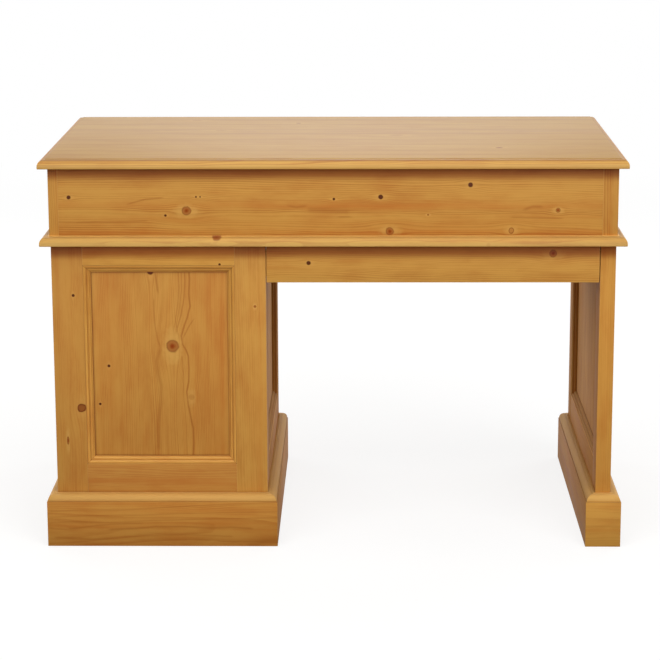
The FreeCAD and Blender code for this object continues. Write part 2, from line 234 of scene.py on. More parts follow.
def cellOf(value, low, high, count):
    # place within its own stave, and that stave's number
    if count == 1:
        return value - (low + high) / 2, 0.0
    clear = 0.5
    width = (high - low + 2 * clear) / count
    number = ((value - (low - clear)) / width).floor()
    return value - (number + 0.5) * width - (low - clear), number


def mitredGrain(along, across, mitre):
    # the strips of a mitred frame each have their grain along their own length
    fromSide = (along - mitre["middle"][0]).size() - mitre["half"][0]
    fromEnd = (across - mitre["middle"][1]).size() - mitre["half"][1]
    upright = fromSide > fromEnd
    jointAndHollows = 1 - (fromSide - fromEnd).size().step(0.15, 0.6)
    inward = (fromSide * -1).least(fromEnd * -1)
    for hollow in mitre["hollows"]:
        jointAndHollows = jointAndHollows + ((inward - hollow["at"]).size() / -hollow["width"]).exp() * hollow["share"]
    turned = (across - along) * upright
    return along + turned, across - turned, jointAndHollows


def knotMarks(knots, along, across, ragged):
    # shares of each knot colour, and the grain as the knots push it aside
    marks = {"halo": 0.0, "heart": 0.0, "rim": 0.0, "dark": 0.0}
    flow = across
    for spot in knots:
        kind = knotKinds[spot["kind"]]
        radius, stretch = spot["radius"], spot["stretch"]
        away = along - spot["at"][0]
        aside = across - spot["at"][1]
        away2 = away * away
        aside2 = aside * aside
        pushLong = (knotReach["pushLong"] * radius) ** 2
        pushWide = (knotReach["pushWide"] * radius) ** 2
        near = (away2 / -pushLong - aside2 / pushWide).exp()
        flow = flow - aside * near * knotReach["push"]
        reach = (away2 / stretch ** 2 + aside2) ** 0.5 / radius + ragged * knotReach["ragged"]
        core = 1 - reach.step(*knotReach["core"])
        eye = 1 - reach.step(*knotReach["eye"])
        fromRim = reach - knotReach["rim"]
        rim = (fromRim * fromRim * -knotReach["rimSharp"]).exp()
        haloLong = (knotReach["haloLong"] * stretch) ** 2
        spread = (away2 / haloLong + aside2) ** 0.5 / radius + ragged * knotReach["haloRagged"]
        halo = 1 - spread.step(*knotReach["halo"])
        marks["halo"] = marks["halo"] + halo * kind["halo"]
        marks["heart"] = marks["heart"] + core * kind["body"] + eye * kind["eye"]
        marks["rim"] = marks["rim"] + rim * kind["rim"]
        marks["dark"] = marks["dark"] + core * kind["dark"]
    return marks, flow


def lateWood(run, flow, depth, ripple, pith, seed, palette):
    # share of dark late wood in each year's ring
    offset = seed * 5.3
    slow, fast = growth["wander"]
    wander = noise(point(run * slow + offset, flow * fast, depth * fast)) - 0.5
    fromPith = ((flow - pith[0]) ** 2 + (depth - pith[1]) ** 2) ** 0.5
    grown = fromPith + wander * palette["waver"] * 2 + ripple * growth["rippleSwing"] + run * palette["taper"]
    pace = noise(point(grown * growth["pace"], offset, 0.0), 1.0) - 0.5
    rings = grown / palette["ringWidth"] + pace * growth["paceSwing"]
    number = rings.floor()
    turn = rings - number
    years = noise(point(number * growth["years"], offset, 0.0), 1.0).step(0.3, 0.7)
    weight = drawn(number + seed * 31)[0] * 0.45 + years * 0.55
    return turn.step(*growth["lateStart"]) * (1 - turn.step(*growth["lateEnd"])) * (weight * 0.85 + 0.15)


def bandShare(stripe, along, across, offset, cloud):
    sway = (noise(point(along * growth["sway"] + stripe["at"], offset, 0.0), 1.0) - 0.5) * stripe["sway"]
    apart = (across - stripe["at"] + sway) / stripe["width"]
    return (apart * apart * -1).exp() * (cloud * 1.3 * stripe["share"])


def traceShare(grainLine, along, across, ripple, fibre):
    # one grain line that bends at each of its points
    (start, path), slope = grainLine["points"][0], 0.0
    for (at0, side0), (at1, side1) in zip(grainLine["points"], grainLine["points"][1:]):
        lean = (side1 - side0) / (at1 - at0)
        path = (along - at0).most(0.0) * (lean - slope) + path
        slope = lean
    end = grainLine["points"][-1][0]
    apart = (across - path + ripple * growth["traceSwing"]) / grainLine["width"]
    ends = along.step(start - 4, start + 8) * (1 - along.step(end - 8, end + 4))
    return (apart * apart * -1).exp() * ends * (fibre * 0.8 + 0.6) * grainLine["share"]


def pine(name, grain, face, box, seed, palette=waxedPine, tone=1.0, staves=(1, 1), pith=None, lines=1.0,
         warm=0.0, upwardSheen=0.5, uneven=0.22, knots=(), knotDepth=None, bands=(), traces=(), mitre=None,
         waxAndShade=(), shaded=None, field=None, duller=0, rubbedAndSheen=None):
    material, tree, shader = newMaterial(name)
    place = Val.node(tree, "ShaderNodeTexCoord", out="Object")
    split = Val.node(tree, "ShaderNodeSeparateXYZ", {}, {0: place})
    axis = {letter: split.out(letter.upper()) * 1000 for letter in "xyz"}
    side = next(letter for letter in "xyz" if letter not in (grain, face))
    low, high = ({letter: corner["xyz".index(letter)] for letter in "xyz"} for corner in box)
    along, across, through = axis[grain], axis[side], axis[face]
    jointAndHollows = None
    if mitre:
        along, across, jointAndHollows = mitredGrain(along, across, mitre)
    ragged = noise(point(*(axis[letter] * growth["ragged"] for letter in "xyz"))) - 0.5
    marks, flow = knotMarks(knots, along, across, ragged)
    if knotDepth:
        # a knot shows on the face that it comes out of, not right through a wide board
        fade = 1 - through.step(*knotDepth)
        marks = {key: share * fade for key, share in marks.items()}

    # the log that each stave was cut from
    flow, staveAcross = cellOf(flow, low[side], high[side], staves[0])
    depth, staveThrough = cellOf(through, low[face], high[face], staves[1])
    if staves == (1, 1):
        luck = random.Random(seed)
        draws = [luck.random() for draw in range(3)]
    else:
        draws = drawn(staveAcross + staveThrough * 7 + seed * 13)
    width = (high[side] - low[side]) / staves[0]
    pith = pith or ((draws[0] - 0.5) * (2.6 * width), draws[1] * 50 + 30)
    run = along + draws[2] * 900
    offset = seed * 5.3
    slow, fast = growth["ripple"]
    ripple = noise(point(run * slow + offset, flow * fast, depth * fast)) - 0.5
    late = lateWood(run, flow, depth, ripple, pith, seed, palette)
    slow, fast = growth["fibre"]
    fibre = noise(point(run * slow, flow * fast + offset, depth * fast), 3.0, 0.6)
    slow, fast = growth["streak"]
    streak = noise(point(run * slow + offset * 2, flow * fast, depth * fast), 3.0).step(0.45, 0.85)
    slow, fast = growth["cloud"]
    cloud = noise(point(run * slow, flow * fast + offset, depth * fast), 2.0)
    slow, fast = growth["figure"]
    figure = noise(point(run * slow + offset, flow * fast, depth * fast), 3.0, 0.6) - 0.5

    # its colour, from the clean wood to what lies on it, with painted light and shade
    shade = {key: colour(*palette[key], tone) for key in woodShades}
    lateShare = late * (palette["lineShare"] * lines) + (fibre - 0.5) * growth["fibreShare"]
    lateShare = lateShare + (cloud - 0.5) * growth["cloudShare"] + figure * growth["figureShare"]
    wood = mixed(lateShare, shade["early"], shade["late"])
    ruddy = streak * palette["redShare"] + figure * growth["figureRed"] + warm
    for stripe in bands:
        if not stripe["vein"]:
            ruddy = ruddy + bandShare(stripe, along, across, offset, cloud)
    wood = mixed(ruddy, wood, shade["red"])
    veins = [bandShare(stripe, along, across, offset, cloud) for stripe in bands if stripe["vein"]]
    veins += [traceShare(grainLine, along, across, ripple, fibre) for grainLine in traces]
    if veins:
        wood = mixed(sum(veins), wood, shade["late"])
    if staves != (1, 1):
        wood = mixed(draws[1] * uneven, wood, shade["late"])
    facing = Val.node(tree, "ShaderNodeSeparateXYZ", {}, {0: place.out("Normal")}, "Z")
    if duller:
        # painted shade: faces turned towards the kneehole are darker, as if less lit
        wood = multiplyMixed((facing.out("X") * duller).step(0.5, 0.9), wood, palette["kneeholeShade"])
    # painted sheen: faces turned upwards are paler, as if lit from above
    wood = mixed(facing.step(0.3, 0.95) * upwardSheen, wood, shade["wornAndSheen"])
    for key, share in marks.items() if knots else ():
        wood = mixed(share, wood, shade[key])
    for mark in waxAndShade:
        # lines along an edge: dark wax with painted shade in a corner, or a pale painted highlight on a
        # rounded edge
        share = ((axis[mark["axis"]] - mark["at"]).size() / -mark["width"]).exp() * mark["share"]
        wood = mixed(share, wood, shade[mark["shade"]])
    if shaded:
        # painted shadow under an overhang, dark and red
        wood = multiplyMixed(axis["z"].step(*shaded), wood, palette["overhangShadow"])
    coat = palette["coat"]
    if field:
        # the flat of a board, with its own tone and coat apart from its edge
        flat = axis["z"].step(field["from"] - 0.3, field["from"])
        wood = multiplyMixed(flat, wood, field["tone"])
        coat = flat * field["coat"] + coat
    # the mitre joints, and wax with painted shade in the moulding's hollows
    if jointAndHollows:
        wood = mixed(jointAndHollows * 0.6, wood, shade["waxAndShade"])
    if rubbedAndSheen:
        # an edge that shoes and cloths have polished, paler partly as wear and partly as a painted highlight
        edge = axis["z"].step(rubbedAndSheen - 1.5, rubbedAndSheen + 1.5)
        coat = edge * coat
        wood = mixed(edge * 0.55, wood, shade["wornAndSheen"])
    # paler arrises: partly real wear, partly a painted highlight on the eased edges
    arris = Val.node(tree, "ShaderNodeAttribute", {"attribute_name": "arris"}, out="Fac")
    wood = mixed(arris * fibre * 0.8, wood, shade["wornAndSheen"])

    relief = late * 0.6 + fibre * 0.5
    if knots:
        relief = relief - marks["heart"] * 0.4 - marks["dark"] * 0.4
    bump = Val.node(tree, "ShaderNodeBump", {}, {"Strength": 0.35, "Distance": 0.25 * mm, "Height": relief})
    feed(shader, {
        "Base Color": wood, "Normal": bump,
        "Roughness": (fibre - 0.5) * 0.16 - late * 0.06 + palette["roughness"],
        "Specular IOR Level": palette["gloss"],
        "Coat Weight": coat, "Coat Roughness": palette["coatRoughness"],
    })
    return material


# Shaping helpers

planing = {"merge": 0.02, "flatAngle": 1.0, "sharpAngle": 40, "smoothAngle": 38, "segments": 2}


def deselect():
    if bpy.context.object and bpy.context.object.mode != "OBJECT":
        bpy.ops.object.mode_set(mode="OBJECT")
    bpy.ops.object.select_all(action="DESELECT")


def pickUp(piece):
    deselect()
    piece.select_set(True)
    bpy.context.view_layer.objects.active = piece


def millimetres(node):
    return [[value / mm for value in corner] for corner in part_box(node)]


def settle(piece, node, stands=True):
    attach(piece, bodyOf[node])
    if stands:
        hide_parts(node)


def easedCopy(node, ease):
    # a board of the frame with its arrises taken off by the plane
    piece = bpy.data.objects.new(node + ".eased", nodes[node].data.copy())
    bpy.context.scene.collection.objects.link(piece)
    pickUp(piece)
    piece.data.materials.clear()
    for slot in range(2):        # a second slot marks the faces that the plane makes
        piece.data.materials.append(None)
    bpy.ops.mesh.customdata_custom_splitnormals_clear()
    bpy.ops.object.mode_set(mode="EDIT")
    bpy.ops.mesh.select_all(action="SELECT")
    bpy.ops.mesh.remove_doubles(threshold=planing["merge"] * mm)
    bpy.ops.mesh.dissolve_limited(angle_limit=math.radians(planing["flatAngle"]))
    bpy.ops.mesh.select_all(action="DESELECT")
    bpy.ops.mesh.select_mode(type="EDGE")
    bpy.ops.mesh.edges_select_sharp(sharpness=math.radians(planing["sharpAngle"]))
    shape = bmesh.from_edit_mesh(piece.data)
    for edge in shape.edges:
        if edge.select and not edge.is_convex:
            edge.select = False
    bmesh.update_edit_mesh(piece.data)
    bpy.ops.mesh.bevel(
        offset=ease * mm, segments=planing["segments"], affect="EDGES", clamp_overlap=True, material=1)
    bpy.ops.object.mode_set(mode="OBJECT")
    wornAndSheen = piece.data.attributes.new("arris", "FLOAT", "FACE")
    for polygon in piece.data.polygons:
        wornAndSheen.data[polygon.index].value = float(polygon.material_index)
        polygon.material_index = 0
    piece.data.materials.clear()
    bpy.ops.object.shade_smooth_by_angle(angle=math.radians(planing["smoothAngle"]))
    return piece


def board(node, grain, face, seed, ease=0.5, **look):
    piece = easedCopy(node, ease)
    piece.data.materials.append(pine(node, grain, face, millimetres(node), seed, **look))
    settle(piece, node)
    return piece


# places on a board are in millimetres, along and across its grain

def knot(along, across, radius, kind, stretch=1.0):
    return {"at": (along, across), "radius": radius, "kind": kind, "stretch": stretch}


def band(across, width, share, sway=4.0, vein=False):
    return {"at": across, "width": width, "share": share, "sway": sway, "vein": vein}


def trace(width, share, *points):
    return {"width": width, "share": share, "points": points}


def line(axis, at, width, share, shade="waxAndShade"):
    return {"axis": axis, "at": at, "width": width, "share": share, "shade": shade}


# Top and waist boards

topUnder, topFace = (corner[2] for corner in millimetres("top_board"))
waistUnder, waistFace = (corner[2] for corner in millimetres("waist_board"))
plinthTop = millimetres("pedestal_plinth_back")[1][2]
underTop = (topUnder - 30, topUnder - 10)        # where painted shadow falls under the overhangs
underWaist = (waistUnder - 33, waistUnder - 14)

topBoard = {
    "node": "top_board", "grain": "x", "face": "z", "seed": 3, "ease": 0.5, "tone": 0.96, "staves": (6, 1),
    "lines": 1.7, "palette": topPine, "upwardSheen": 0.2,
    "field": {"from": topFace - 1.3, "tone": (0.695, 0.735, 0.69, 1.0), "coat": 0.0},
    # a dark line of wax with painted shade in the quirk, and a pale painted highlight on the nosing
    "waxAndShade": [line("z", topFace - 2.6, 1.2, 0.75), line("z", topFace - 13, 4.0, 0.45, "pale")],
    "bands": [
        band(-262, 5, 0.7, 16, True), band(-205, 9, 0.6, 20, True), band(-120, 5, 0.8, 16, True),
        band(-52, 10, 0.6, 24, True), band(38, 6, 0.8, 20, True), band(104, 14, 0.6, 24, True),
        band(188, 8, 0.8, 24, True), band(262, 10, 0.7, 20, True),
    ],
    "knots": [
        knot(-240, 90, 9, "faint", 1.3), knot(127, 14, 12, "faint", 1.3), knot(-302, 253, 8, "faint", 1.3),
        knot(330, -170, 7, "brown"), knot(-80, 205, 5, "brown"),
    ],
}
waistBoard = {
    "node": "waist_board", "grain": "x", "face": "y", "seed": 11, "ease": 0.5, "tone": 0.94, "staves": (1, 6),
    # painted light: the upper flat 1.45 times brighter; wax with painted shade in the quirk and a pale
    # painted highlight on the nosing
    "palette": topPine, "field": {"from": waistFace - 0.1, "tone": (1.45, 1.45, 1.45, 1.0), "coat": 0.2},
    "waxAndShade": [line("z", waistFace - 2.4, 1.4, 0.32), line("z", waistFace - 15, 4.0, 0.42, "pale")],
    "knots": [knot(-226, waistFace + 1.5, 9.5, "edge"), knot(302, waistFace - 15, 4, "faint")],
    "knotDepth": (-290, -250),
}
board(**topBoard)
board(**waistBoard)
print("top and waist boards done")


# Frieze

friezeBoard = {
    "node": "frieze_back_board", "grain": "x", "face": "y", "seed": 5, "ease": 0.3, "pith": (-118, 60),
    # a line of wax with painted shade along the waist, and painted shadow under the top
    "lines": 1.25, "waxAndShade": [line("z", waistFace, 3.0, 0.5)], "shaded": underTop,
    "bands": [band(687, 8, 0.5, 10), band(655, 10, 0.3), band(634, 6, 0.45, 6)],
    "traces": [
        trace(1.6, 0.55, (-400, 690), (-365, 700), (-330, 703)), trace(1.3, 0.4, (-500, 655), (-360, 657)),
        trace(2.4, 0.5, (-89, 687), (-71, 684), (-50, 687)), trace(5.0, 0.45, (-50, 679), (33, 675)),
        trace(3.0, 0.55, (369, 679), (388, 685), (408, 685)), trace(1.6, 0.4, (344, 663), (447, 662)),
        trace(1.6, 0.5, (8, 665), (37, 665)),
    ],
    "knots": [
        knot(-514, 703.5, 3.8, "dark"), knot(-285, 677, 8.8, "brown"), knot(-326, 668, 2.4, "dark"),
        knot(-266, 704.5, 1.9, "dark"), knot(-258, 704.5, 1.6, "dark"), knot(2, 700, 2.5, "dark"),
        knot(93, 704, 4.6, "dark"), knot(267, 727.5, 4.8, "dark"), knot(437, 678, 4.4, "brown"),
        knot(185, 669, 1.9, "brown"), knot(111, 636.5, 7.6, "brown"), knot(347, 638.0, 5.6, "ringed", 0.85),
    ],
}
friezePieces = {
    "frieze_corner_posts": {
        "grain": "z", "face": "y", "seed": 21, "ease": 0.5, "staves": (2, 2), "tone": 0.98,
        # painted shadow under the top
        "shaded": underTop,
    },
    "frieze_end_left": {"grain": "y", "face": "x", "seed": 22, "ease": 0.3},
    "frieze_end_right": {"grain": "y", "face": "x", "seed": 23, "ease": 0.3},
    "frieze_divider": {"grain": "y", "face": "x", "seed": 24, "ease": 0.5},
    # tone raised: painted light on the sitter's side
    "frieze_front_rail": {"grain": "x", "face": "y", "seed": 25, "ease": 0.5, "tone": 1.05},
}
board(**friezeBoard)
for node, settings in friezePieces.items():
    board(node, **settings)
print("frieze done")


# Pedestal back

backPieces = {
    # stiles and rails: a line of wax with painted shade at the plinth, and painted shadow under the waist
    "pedestal_back_stile_left": {
        "grain": "z", "face": "y", "seed": 31, "ease": 0.35, "tone": 0.92, "warm": 0.2, "lines": 0.6,
        "waxAndShade": [line("z", plinthTop, 1.5, 0.4)], "shaded": underWaist,
        "knots": [
            knot(508.5, -510.4, 2.8, "dark"), knot(280.4, -499.6, 8.4, "dead"),
            knot(280.8, -489.0, 2.2, "dark"), knot(213.5, -528.6, 2.6, "brown", 3.2),
        ],
    },
    "pedestal_back_stile_right": {
        "grain": "z", "face": "y", "seed": 32, "ease": 0.35, "lines": 0.4, "tone": 0.99, "warm": 0.08,
        "waxAndShade": [line("z", plinthTop, 1.5, 0.4)], "shaded": underWaist,
        "knots": [knot(486.4, -153.7, 2.6, "brown")],
    },
    "pedestal_back_rail_top": {
        # tone raised: painted light
        "grain": "x", "face": "y", "seed": 33, "ease": 0.35, "tone": 1.17, "lines": 0.6, "pith": (-150, 60),
        "shaded": underWaist,
        "knots": [knot(-222, 570.5, 2.3, "dark")],
    },
    "pedestal_back_rail_bottom": {
        "grain": "x", "face": "y", "seed": 34, "ease": 0.35, "tone": 0.88, "warm": 0.3, "lines": 0.8,
        "pith": (-150, 60), "waxAndShade": [line("z", plinthTop, 1.5, 0.4)],
    },
    "pedestal_back_panel": {
        "grain": "z", "face": "y", "seed": 35, "ease": 0.3, "pith": (-260, 60), "tone": 0.98, "warm": 0.14,
        "lines": 0.9, "bands": [band(-236, 40, 0.26, 30), band(-420, 30, 0.16, 40)],
        "traces": [
            trace(1.7, 0.75, (172, -281), (206, -279), (235, -280), (260, -285), (286, -289), (311, -291),
                  (332, -287), (357, -286), (383, -287), (395, -291), (408, -298), (423, -300), (438, -296),
                  (463, -288), (484, -282), (509, -284), (539, -282), (558, -283)),
            trace(1.3, 0.55, (427, -310), (442, -307), (467, -300), (501, -294), (535, -291), (558, -292)),
            trace(1.2, 0.45, (429, -316), (454, -311), (488, -306), (522, -303), (558, -304)),
            trace(1.1, 0.40, (425, -313), (446, -309), (480, -303), (520, -298), (558, -298)),
            trace(1.5, 0.50, (421, -296), (442, -286), (459, -275)),
            trace(1.2, 0.35, (172, -292), (240, -293), (300, -298), (350, -297), (385, -300)),
            trace(4.0, 0.42, (190, -350), (248, -349), (290, -343), (324, -342), (345, -347), (374, -350),
                  (400, -342)),
            trace(1.5, 0.45, (400, -342), (417, -347), (446, -352), (476, -354), (501, -354)),
            trace(1.8, 0.60, (510, -345), (530, -347), (554, -350)),
        ],
        # wax with painted shade along the moulding round the panel
        "waxAndShade": [
            line("z", 180, 1.3, 0.9), line("z", 553.5, 1.6, 0.85), line("x", -476, 1.5, 0.9),
            line("x", -208, 1.8, 0.45),
        ],
        "knots": [
            knot(554.5, -358.6, 6.5, "dark"), knot(403.8, -318, 12.2, "brown"),
            knot(363.7, -444.9, 3.0, "dark"), knot(286, -464, 2.5, "dark"), knot(300, -282, 6.0, "faint"),
        ],
    },
}
for node, settings in backPieces.items():
    board(node, **settings)
print("pedestal back done")


# Framed sides: two of the pedestal, one at the open end

sideFrames = {"pedestal_outer": 0, "pedestal_inner": 1, "end": -1}        # way along X to the kneehole
sidePieces = {
    "stiles": {
        "grain": "z", "face": "x", "ease": 0.35, "staves": (2, 1), "tone": 1.08, "lines": 0.9,
        # painted shadow under the waist
        "palette": shadedPine, "shaded": underWaist,
    },
    "rails": {"grain": "y", "face": "x", "ease": 0.35, "staves": (2, 1), "palette": shadedPine},
    "panel": {
        "grain": "z", "face": "x", "ease": 0.3, "staves": (4, 1), "tone": 0.95, "lines": 1.5, "uneven": 0.55,
        "palette": shadedPine,
    },
}
for count, (side, toKnees) in enumerate(sideFrames.items()):
    for number, (piece, settings) in enumerate(sidePieces.items()):
        # painted shade on the stiles and rails turned to the kneehole
        duller = 0 if piece == "panel" else toKnees
        board(f"{side}_{piece}", seed=41 + 5 * count + number, duller=duller, **settings)
print("framed sides done")


# Plinths, apron and the boards inside

plinth = {
    "grain": {"back": "x", "front": "x", "left": "y", "right": "y", "inner": "y", "outer": "y"},
    "face": {"x": "y", "y": "x"},
    "finish": {
        # a rubbed edge paler partly as wear and partly as painted highlight; lines of wax with painted shade
        # in the quirk and at the top
        "ease": 0.6, "tone": 0.96, "palette": plinthPine, "rubbedAndSheen": plinthTop - 13,
        "waxAndShade": [line("z", plinthTop - 14.6, 0.5, 0.45), line("z", plinthTop - 0.8, 0.4, 0.35)],
    },
    "pedestal_plinth_back": {"tone": 0.92, "warm": 0.30, "traces": [
        trace(2.2, 0.50, (-450, 34), (-401, 37), (-354, 41), (-304, 41), (-254, 38.5), (-204, 40),
              (-160, 37)),
        trace(1.6, 0.30, (-570, 49), (-520, 51), (-447, 49), (-373, 53), (-287, 56), (-220, 58), (-100, 60)),
        trace(1.6, 0.30, (-570, 60), (-487, 63), (-387, 65), (-287, 69), (-187, 70.5), (-100, 72)),
        trace(1.8, 0.34, (-570, 72), (-503, 75), (-420, 75.5), (-320, 82), (-220, 86), (-100, 92)),
        trace(1.6, 0.34, (-570, 37), (-537, 35), (-487, 41), (-440, 46), (-380, 48)),
        trace(9.0, 0.42, (-175, -2), (-150, 6), (-125, 13), (-90, 18)),
        trace(2.0, 0.30, (-560, 18), (-480, 14), (-380, 22), (-290, 24), (-200, 20)),
    ]},
    # painted shade: the plinth faces turned to the kneehole made darker
    "pedestal_plinth_right": {"tone": 0.78, "warm": 0.3},
    "end_plinth_inner": {"tone": 0.71, "warm": 0.35},
    "end_plinth_back": {"tone": 0.98, "lines": 0.45},
}
for count, node in enumerate(node for node in sorted(nodes) if "_plinth_" in node):
    run = plinth["grain"][node.split("_")[-1]]
    board(node, run, plinth["face"][run], 61 + count, **dict(plinth["finish"], **plinth.get(node, {})))

apronEnds = [corner[0] for corner in millimetres("apron_rail")]
insidePieces = {
    "apron_rail": {
        "grain": "x", "face": "y", "seed": 75, "ease": 0.6, "tone": 1.05, "lines": 0.75, "pith": (-110, 60),
        # painted shadow under the waist, and dark lines of wax with painted shade at the apron's ends
        "shaded": underWaist, "waxAndShade": [line("x", apronEnds[0], 1.8, 0.9), line("x", apronEnds[1], 2.2, 0.95)],
        "knots": [knot(-48, 572.8, 4.2, "dark"), knot(429.4, 591.7, 7.5, "brown")],
    },
    "pedestal_floor": {"grain": "y", "face": "z", "seed": 76, "palette": barePine, "staves": (4, 1)},
    "pedestal_corner_blocks": {"grain": "z", "face": "y", "seed": 77, "palette": barePine, "staves": (2, 2)},
    "door_stop": {"grain": "x", "face": "y", "seed": 78, "palette": barePine},
    "top_battens": {"grain": "x", "face": "y", "seed": 79, "palette": barePine, "staves": (1, 2)},
    "drawer_guides": {"grain": "y", "face": "x", "seed": 80, "palette": barePine, "staves": (1, 2)},
}
for node, settings in insidePieces.items():
    board(node, **settings)
print("plinths, apron and inside boards done")


# Drawers and door

drawerPieces = {
    # tone raised: painted light on the sitter's side
    "front": {"grain": "x", "face": "y", "ease": 0.6, "tone": 1.08},
    "sides": {"grain": "y", "face": "x", "palette": barePine, "staves": (1, 2), "ease": 0.3},
    "back": {"grain": "x", "face": "y", "palette": barePine, "ease": 0.3},
    "bottom": {"grain": "x", "face": "z", "palette": barePine, "staves": (5, 1), "ease": 0.3},
}
for count, drawer in enumerate(("drawer_left", "drawer_right")):
    for number, (piece, settings) in enumerate(drawerPieces.items()):
        board(f"{drawer}_{piece}", seed=91 + 5 * count + number, **settings)
doorPieces = {
    # tones raised: painted light on the sitter's side
    "door_stiles": {"grain": "z", "face": "y", "seed": 101, "ease": 0.35, "staves": (2, 1), "tone": 1.08},
    "door_rails": {"grain": "x", "face": "y", "seed": 102, "ease": 0.35, "staves": (2, 1), "tone": 1.08},
    "door_panel": {"grain": "z", "face": "y", "seed": 103, "ease": 0.3, "tone": 1.05},
}
for node, settings in doorPieces.items():
    board(node, **settings)
print("drawers and door done")


# Mitred mouldings round the panels

moulding = {
    "wide": 15.0, "outerFlat": 2.0, "bead": 4.5, "quirk": 1.5, "quirkDepth": 0.5, "toe": 1.0, "steps": 5,
    "ease": 0.35, "merge": 0.01, "smoothAngle": 32,
    # wax with painted shade in the hollows, by their way in from the outer edge
    "hollows": [
        {"at": 0.0, "width": 0.9, "share": 0.8}, {"at": 7.2, "width": 0.7, "share": 0.35},
        {"at": 14.8, "width": 0.9, "share": 0.8},
    ],
    "look": {"tone": 1.08, "warm": 0.05},
    # painted shade: mouldings turned to the kneehole are darker and redder
    "inKneehole": {"tone": 0.66, "warm": 0.45, "palette": hiddenPine},
    "kneehole": ("pedestal_inner_moulding", "end_moulding_inner"),
    "outward": {
        "pedestal_back_moulding": "-y", "pedestal_outer_moulding": "-x", "pedestal_inner_moulding": "+x",
        "end_moulding_inner": "-x", "end_moulding_outer": "+x", "door_moulding": "+y",
    },
}


def beadArc(start, end, steps):
    # quarter round from start (level) to end (plumb), as in the section's two beads
    (u0, v0), (u1, v1) = start, end
    turns = [math.pi / 2 * step / steps for step in range(1, steps + 1)]
    return [(u0 + (u1 - u0) * math.sin(turn), v1 + (v0 - v1) * math.cos(turn)) for turn in turns]


def mouldingSection(wide, high):
    flat, bead, quirk = moulding["outerFlat"], moulding["bead"], moulding["quirk"]
    middle = high - bead
    sink = middle - moulding["quirkDepth"]
    upper = flat + bead
    lower = upper + quirk
    toeStart = lower + bead
    soft = moulding["ease"]
    section = [(0.0, 0.0), (0.0, high - soft), (soft, high), (flat, high)]
    section += beadArc((flat, high), (upper, middle), moulding["steps"])
    section += [(upper, sink), (lower, sink), (lower, middle)]
    section += beadArc((lower, middle), (toeStart, moulding["toe"]), moulding["steps"])
    return section + [(wide - soft, moulding["toe"]), (wide, moulding["toe"] - soft), (wide, 0.0), (0.0, 0.0)]


def mouldingRing(node, outward, seed):
    low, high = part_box(node)
    flatAxis = "xy".index(outward[1])
    spanAxis = 1 - flatAxis
    span = high[spanAxis] - low[spanAxis]
    rise = high.z - low.z
    depth = high[flatAxis] - low[flatAxis]
    section = mouldingSection(moulding["wide"], depth / mm)
    deselect()
    bpy.ops.mesh.primitive_plane_add(size=1.0)
    piece = bpy.context.object
    piece.name = node + ".ring"
    bpy.ops.object.mode_set(mode="EDIT")
    bpy.ops.mesh.select_mode(type="EDGE")
    bpy.ops.mesh.select_all(action="SELECT")
    bpy.ops.transform.resize(value=(span, rise, 1.0), center_override=(0.0, 0.0, 0.0))
    bpy.ops.mesh.delete(type="ONLY_FACE")
    bpy.ops.mesh.select_all(action="SELECT")
    for (u0, v0), (u1, v1) in zip(section, section[1:]):
        grow = [(size - 2 * u1 * mm) / (size - 2 * u0 * mm) for size in (span, rise)]
        bpy.ops.mesh.extrude_region_move(TRANSFORM_OT_translate={"value": (0.0, 0.0, (v1 - v0) * mm)})
        bpy.ops.transform.resize(value=(grow[0], grow[1], 1.0), center_override=(0.0, 0.0, 0.0))
    bpy.ops.mesh.select_all(action="SELECT")
    bpy.ops.mesh.remove_doubles(threshold=moulding["merge"] * mm)
    bpy.ops.mesh.normals_make_consistent(inside=False)
    bpy.ops.object.mode_set(mode="OBJECT")
    # stand it up against the panel, its beads outwards
    outSign = 1.0 if outward[0] == "+" else -1.0
    outVector = Vector((0.0, 0.0, 0.0))
    outVector[flatAxis] = outSign
    up = Vector((0.0, 0.0, 1.0))
    turn = Matrix((up.cross(outVector), up, outVector)).transposed().to_4x4()
    middle = (low + high) / 2
    middle[flatAxis] = low[flatAxis] if outSign > 0 else high[flatAxis]
    piece.matrix_world = Matrix.Translation(middle) @ turn
    bpy.ops.object.transform_apply(location=True, rotation=True, scale=True)
    bpy.ops.object.shade_smooth_by_angle(angle=math.radians(moulding["smoothAngle"]))
    spanName, flatName = "xy"[spanAxis], "xy"[flatAxis]
    mitre = {
        "middle": (middle[spanAxis] / mm, middle.z / mm), "half": (span / mm / 2, rise / mm / 2),
        "hollows": moulding["hollows"],
    }
    look = moulding["inKneehole" if node in moulding["kneehole"] else "look"]
    wood = pine(node, spanName, flatName, millimetres(node), seed, mitre=mitre, **look)
    piece.data.materials.append(wood)
    settle(piece, node)


for count, (node, outward) in enumerate(moulding["outward"].items()):
    mouldingRing(node, outward, 111 + count)
print("mouldings done")


# Turned knobs

knobShape = {
    "projection": 24.0, "radius": 16.5, "spigot": 5.0, "spigotLength": 14.0,
    # reach from the wood and radius there, from the collar over the neck to the back of the head
    "shank": [(0.0, 8.5), (1.0, 8.5), (1.7, 8.1), (2.2, 7.3), (3.2, 6.7), (5.0, 6.4), (6.8, 7.3), (8.2, 8.6)],
    "headStart": 9.2, "headMiddle": 15.6, "sides": 40, "steps": 12,
    "merge": 0.01, "smoothAngle": 50, "tone": 0.9,
    "knobs": {"door_knob": 1, "drawer_left_knob": 1, "drawer_right_knobs": 2},
}


def knobSection():
    headDeep = knobShape["projection"] - knobShape["headMiddle"]
    start = -math.asin((knobShape["headMiddle"] - knobShape["headStart"]) / headDeep)
    spigot = knobShape["spigot"]
    section = [(-knobShape["spigotLength"], spigot), (0.0, spigot)] + knobShape["shank"]
    for step in range(knobShape["steps"]):
        turn = start + (math.pi / 2 - start) * step / knobShape["steps"]
        reach = knobShape["headMiddle"] + headDeep * math.sin(turn)
        section.append((reach, knobShape["radius"] * math.cos(turn)))
    return section


